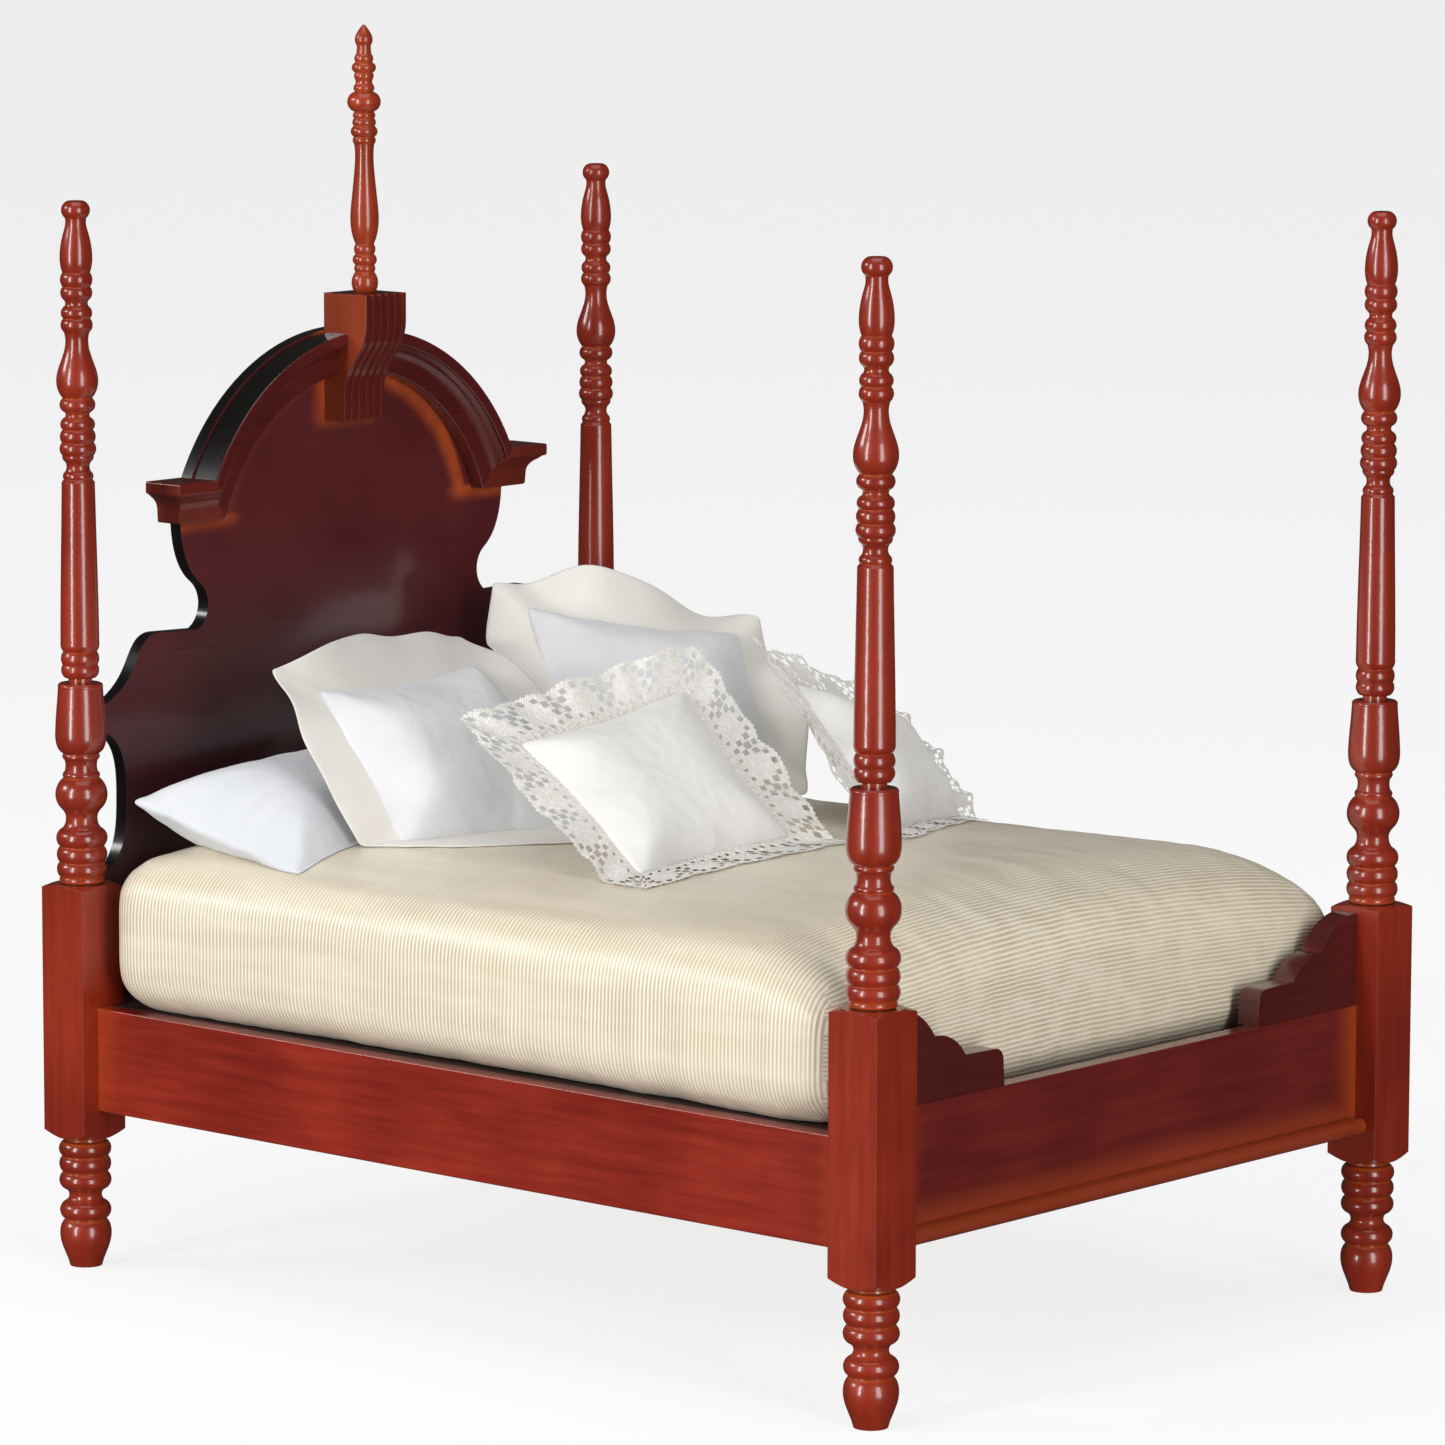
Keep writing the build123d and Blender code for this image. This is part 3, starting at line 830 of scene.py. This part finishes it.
class Lie:
    """How a flat pillow, of a width and a depth, is laid over four corners."""

    def __init__(self, node, width, depth, corners):
        middle = node_middle(node)
        self.width = width
        self.depth = depth
        self.corners = [middle + Vector(corner) * MM for corner in corners]

    def patch(self, across, along):
        near_left, near_right, far_right, far_left = self.corners
        near = near_left.lerp(near_right, across)
        far = far_left.lerp(far_right, across)
        return near.lerp(far, along)

    def out(self, across, along):
        near_left, near_right, far_right, far_left = self.corners
        right = (near_right - near_left).lerp(far_right - far_left, along)
        up = (far_left - near_left).lerp(far_right - near_right, across)
        return right.cross(up).normalized()

    def __call__(self, point):
        across = point.x / self.width + 0.5
        along = point.y / self.depth + 0.5
        return self.patch(across, along) + self.out(across, along) * point.z


# %% Resting on what lies below
def surface(pieces):
    """What the next pillow rests on, as one tree for looking up places."""
    points, faces = [], []
    for piece in pieces:
        start = len(points)
        points += [vertex.co.copy() for vertex in piece.data.vertices]
        faces += [[start + i for i in face.vertices] for face in piece.data.polygons]
    return BVHTree.FromPolygons(points, faces)


UP = Vector((0, 0, 1))
mattress_surface = surface([spread])


def rest_on(below, point, gap=0.15 * MM, slide=0.0):
    """Lift a point out of what lies below, and slide it towards the foot by a share of the lift."""
    hit = below.ray_cast(point + UP * 0.1, -UP)[0]
    if hit is None or point.z > hit.z + gap:
        return point
    lift = hit.z + gap - point.z
    return Vector((point.x, point.y - slide * lift, hit.z + gap))


def fit_bag(piece, width, depth, thick):
    """Stretch a blown up bag back to its width, depth and thickness."""
    size = [max(v.co[i] for v in piece.data.vertices) * 2 for i in range(3)]
    for vertex in piece.data.vertices:
        vertex.co.x *= width / size[0]
        vertex.co.y *= depth / size[1]
        vertex.co.z *= thick / size[2]


def pillow(
    name, node, width, depth, thick, lie, below, material, seed,
    pressure=4.0, shift=Vector(),
):
    """A blown up pillow, laid in place and resting on what lies below it."""
    piece = bag(name, width * 1.04, depth * 1.04)
    blow_up(piece, pressure, thick * 0.62, seed, held_out=0.85)
    fit_bag(piece, width, depth, thick)
    smooth(piece)
    for vertex in piece.data.vertices:
        vertex.co = rest_on(below, lie(vertex.co + shift))
    piece.data.materials.append(material)
    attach(piece, node)
    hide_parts(node)
    return piece


print("pillows rest on a mattress whose top is at", round(top / MM, 1), "mm")

# %% [markdown]
# ## The plain pillows
#
# Two plump plain pillows lie at the back, one each side, tilted up against the headboard.

# %% Plain pillows
PLAIN_WIDTH, PLAIN_DEPTH, PLAIN_THICK = 51 * MM, 38 * MM, 19 * MM
PLAINS = {
    "left": [(-27, -20, -8.5), (25, -17.5, -6.5), (25, 16, 4), (-30, 15, 0.5)],
    "right": [(-25, -17.5, -6.5), (25, -18.5, -7.0), (27, 15, 3), (-25, 16, 4)],
}
below = {}
for side, corners in PLAINS.items():
    node = f"pillow_plain_{side}"
    lie = Lie(node, PLAIN_WIDTH, PLAIN_DEPTH, corners)
    made = pillow(
        f"plain_pillow_{side}", node, PLAIN_WIDTH, PLAIN_DEPTH, PLAIN_THICK,
        lie, mattress_surface, plain_cotton, 11,
    )
    below[side] = surface([spread, made])
    print(made.name, len(made.data.polygons), "faces")


# %% [markdown]
# ## Frills
#
# A frill is one strip of cloth gathered round the edge of a pillow.  It is made as a long flat grid,
# and each point of the grid is moved to its place: along the strip it goes round the pillow, and
# across the strip it goes outwards, waving more the further out it is.  At a corner the strip turns
# with a mitre, which can be rounded off.

# %% Strips that go round a pillow
def strip_points(width, depth, reach, pinch, shift, rounding):
    """Places round a pillow: for a share of the way round and a share outwards.

    rounding 0 leaves a corner sharp, 1 makes it a quarter circle, and more draws it in.
    """
    signs = ((-1, -1), (1, -1), (1, 1), (-1, 1))
    inner = [Vector((sx * width / 2, sy * depth / 2)) for sx, sy in signs]
    outer = [corner + Vector(sign) * reach for corner, sign in zip(inner, signs)]
    inner = [corner + Vector(shift) for corner in inner]

    def place(round_share, out_share):
        side = min(3, int(round_share * 4))
        share = round_share * 4 - side
        following = (side + 1) % 4
        seam = inner[side].lerp(inner[following], share)
        hem = outer[side].lerp(outer[following], share)
        mitre = max(1.0, (hem - seam).length / reach)
        flat = seam + (hem - seam) * out_share / mitre ** rounding
        inwards = -(inner[side] + inner[following]).normalized()
        return flat + inwards * pinch * math.sin(math.pi * share) * (1 - 0.55 * out_share)

    return place


def strip(
    name, width, depth, reach, pinch, wave, lie,
    rows=8, step=0.7 * MM, shift=(0, 0), rounding=0.5,
):
    """A strip round a pillow, laid with it.  wave(round, out) is its height off the flat."""
    place = strip_points(width, depth, reach, pinch, shift, rounding)
    length = 2 * (width + depth) + 4 * reach
    columns = round(length / step)
    piece = grid(name, 1.0, 1.0, columns, rows)
    for corner in piece.data.uv_layers["cloth"].data:
        corner.uv = (corner.uv.x * length, corner.uv.y * reach)
    for vertex in piece.data.vertices:
        round_share = min(vertex.co.x + 0.5, 0.999999)
        out_share = vertex.co.y + 0.5
        flat = place(round_share, out_share)
        vertex.co = lie(Vector((flat.x, flat.y, wave(round_share, out_share))))
    only(piece)
    bpy.ops.object.mode_set(mode="EDIT")
    bpy.ops.mesh.select_all(action="SELECT")
    bpy.ops.mesh.remove_doubles(threshold=0.02 * MM)
    bpy.ops.object.mode_set(mode="OBJECT")
    return piece


def folds(count, depth, seed):
    """Soft, uneven folds, the same each time."""
    rough = random.Random(seed)
    parts = [(count * k, rough.uniform(0, 6.3), rough.uniform(0.5, 1.0) / k) for k in (1, 2, 3)]
    slow = [(k, rough.uniform(0, 6.3), rough.uniform(0.4, 0.9)) for k in (2, 3, 5)]

    def wave(round_share, out_share):
        turn = 2 * math.pi * round_share
        ripple = sum(size * math.sin(rate * turn + start) for rate, start, size in parts)
        swing = sum(size * math.sin(rate * turn + start) for rate, start, size in slow)
        return depth * (out_share ** 1.3) * (ripple + 0.6 * swing)

    return wave


# %% [markdown]
# ## The shams
#
# Two larger pillows lean in front of the plain ones.  Each has a frill about nine millimetres wide on
# all four sides, sewn a little way in from the edge.  The right one is more crumpled.  Where a frill
# would sink into what lies below, it is lifted out and slides towards the foot.

# %% Shams
SHAM_WIDTH, SHAM_DEPTH, SHAM_THICK = 40 * MM, 31 * MM, 14 * MM
FRILL = 8.6 * MM
FRILL_SEAM = 1.5 * MM       # how far in from the sham's edge the frill is sewn on
# Each frill's folds: their depth, the seed that places them, and how far the corners are rounded.
FRILL_FOLDS = {"left": (1.4 * MM, 5, 0.8), "right": (3.0 * MM, 24, 1.2)}
SHAMS = {
    "left": [(-9.5, 1.4, -16.2), (22.5, -20.6, -16.2), (25.5, 18.4, 8.4), (-14, 15.9, 8.4)],
    "right": [(-15.5, 6.9, -9.2), (14.5, -15.1, -13.2), (25, 2.9, 5.9), (-4.0, 25.9, 11.5)],
}
for side, corners in SHAMS.items():
    node = f"pillow_sham_{side}"
    lie = Lie(node, SHAM_WIDTH, SHAM_DEPTH, corners)
    made = pillow(
        f"sham_{side}", node, SHAM_WIDTH, SHAM_DEPTH, SHAM_THICK,
        lie, below[side], sham_cotton, 21,
    )
    fold_depth, seed, rounding = FRILL_FOLDS[side]
    edge = strip(
        f"sham_{side}_frill", SHAM_WIDTH - 2 * FRILL_SEAM, SHAM_DEPTH - 2 * FRILL_SEAM,
        FRILL + FRILL_SEAM, 0.8 * MM, folds(4, fold_depth, seed), lie, rounding=rounding,
    )
    for vertex in edge.data.vertices:
        vertex.co = rest_on(below[side], vertex.co, 0.3 * MM, slide=1.0)
    hem = edge.modifiers.new("hem", "SOLIDIFY")
    hem.thickness = 0.35 * MM
    hem.offset = 0
    apply(edge, hem)
    smooth(edge)
    edge.data.materials.append(frill_cotton)
    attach(edge, node)
    print(edge.name, len(edge.data.polygons), "faces")

# %% [markdown]
# ## Lace
#
# The two small cushions in front have a border of cotton lace.  Its pattern repeats about every nine
# millimetres: a scallop along the outer edge with three small holes under it, a solid square, and a
# column of larger holes before the next one.  Near the cushion the lace is gathered thick.
#
# Real lace is threads with nothing between them, so the border is a thin sheet whose finish is
# cleared away in the holes and past the scallops.

# %% Lace finish
LACE = 9.8 * MM
REPEAT = 9.3 * MM
SCALLOPS = 8.75             # where the scallops start, in millimetres from the seam
# Each hole: share of the repeat, then its distance from the seam and half its width in millimetres.
LACE_HOLES = (
    (0.28, 8.2, 0.42), (0.50, 8.6, 0.45), (0.72, 8.2, 0.42),
    (0.17, 7.0, 0.52), (0.83, 7.0, 0.52),
    (0.00, 7.9, 0.45), (0.00, 6.3, 0.62), (0.12, 5.0, 0.50), (0.88, 5.0, 0.50),
    (0.00, 3.6, 0.50), (0.25, 3.0, 0.34), (0.50, 2.7, 0.34), (0.75, 3.0, 0.34),
)


def lace():
    finish = Finish("cotton_lace", Roughness=0.8, Sheen_Weight=0.2)
    across, out, _ = cloth_map(finish)
    where = finish.place()
    shake = finish.noise(where, 1500, 2.0) - 0.5
    repeat = REPEAT / MM
    share = (across / REPEAT).part()
    run = share * repeat + shake * 0.22
    off = out / MM + shake * 0.22
    solid = None
    for place, seam, half in LACE_HOLES:
        beside = (run - place * repeat).size()
        if place == 0.0:
            beside = beside.least((run - repeat).size())
        clear = beside.most((off - seam).size())
        edge = clear.rise(half * 1.02, half * 1.24)
        solid = edge if solid is None else solid.least(edge)
    scallop = (share * math.pi).sine() ** 0.55
    picot = (across * (2 * math.pi / (0.85 * MM))).sine() * 0.16
    border = SCALLOPS + scallop * 1.0 + picot
    rim = (off - border).rise(-0.06, 0.06)
    solid = solid * (1 - rim)
    finish.feed("Alpha", solid)
    warp = (across * (2 * math.pi / (0.45 * MM))).sine()
    weft = (out * (2 * math.pi / (0.45 * MM))).sine()
    thread = warp * weft * 0.5 + 0.5
    knots = finish.noise(where, 1300, 3.0).rise(0.4, 0.7)
    gathered = 1 - (out / MM).rise(1.2, 3.2)
    tone = finish.mix(knots * 0.5 + thread * 0.5, (0.72, 0.69, 0.63), (0.93, 0.91, 0.88))
    finish.feed("Base Color", finish.mix(gathered * 0.3, tone, (0.84, 0.78, 0.70)))
    height = thread * 0.6 + knots * (0.6 + 1.4 * gathered)
    finish.feed("Normal", finish.bump(height, 0.14 * MM, 0.9))
    return finish.material


cotton_lace = lace()
print("lace repeats every", round(REPEAT / MM, 1), "mm with", len(LACE_HOLES), "holes")

# %% [markdown]
# ## The lace cushions
#
# Both lean against the shams with their lower edges on the bedspread.  Nothing lies in front of them,
# so their corners matter most.  Cushion and border are laid over the same four corners, which are
# those of the border's outer edge.

# %% Lace cushions
CUSHION, CUSHION_THICK = 34.5 * MM, 11.0 * MM
LACE_SEAM = 1.2 * MM        # how far in from the cushion's edge the lace is sewn on
LACE_SEEDS = {"left": 4, "right": 6}
CUSHION_SHIFT = Vector((-1.4, -2.0, 0)) * MM  # the lower and left borders are folded under a little
WHOLE = 52.1 * MM           # width of the cushion with its border, laid flat
CUSHIONS = {
    "left": [(-27.6, -20.7, -16.3), (20.8, -24.7, -13.3), (28.0, 14.6, 19.2), (-23.1, 23.4, 9.8)],
    "right": [(-25.5, -34.3, -14.7), (17.7, -19.9, -15.3), (32.5, 10.6, 0.2), (-19.9, 2.9, 20.7)],
}
for side, corners in CUSHIONS.items():
    node = f"pillow_lace_{side}"
    whole = Lie(node, WHOLE, WHOLE, corners)
    made = pillow(
        f"lace_cushion_{side}", node, CUSHION, CUSHION, CUSHION_THICK,
        whole, mattress_surface, cushion_cotton, 31, shift=CUSHION_SHIFT,
    )
    sewn = CUSHION - 2 * LACE_SEAM
    edge = strip(
        f"lace_border_{side}", sewn, sewn, LACE + 0.2 * MM, 0.6 * MM,
        folds(11, 0.75 * MM, LACE_SEEDS[side]), whole, rows=10, step=0.6 * MM,
        shift=CUSHION_SHIFT.xy, rounding=0.25,
    )
    for vertex in edge.data.vertices:
        vertex.co = rest_on(mattress_surface, vertex.co, 0.35 * MM, slide=0.8)
    bpy.ops.object.shade_smooth()
    edge.data.materials.append(cotton_lace)
    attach(edge, node)
    print(edge.name, len(edge.data.polygons), "faces")
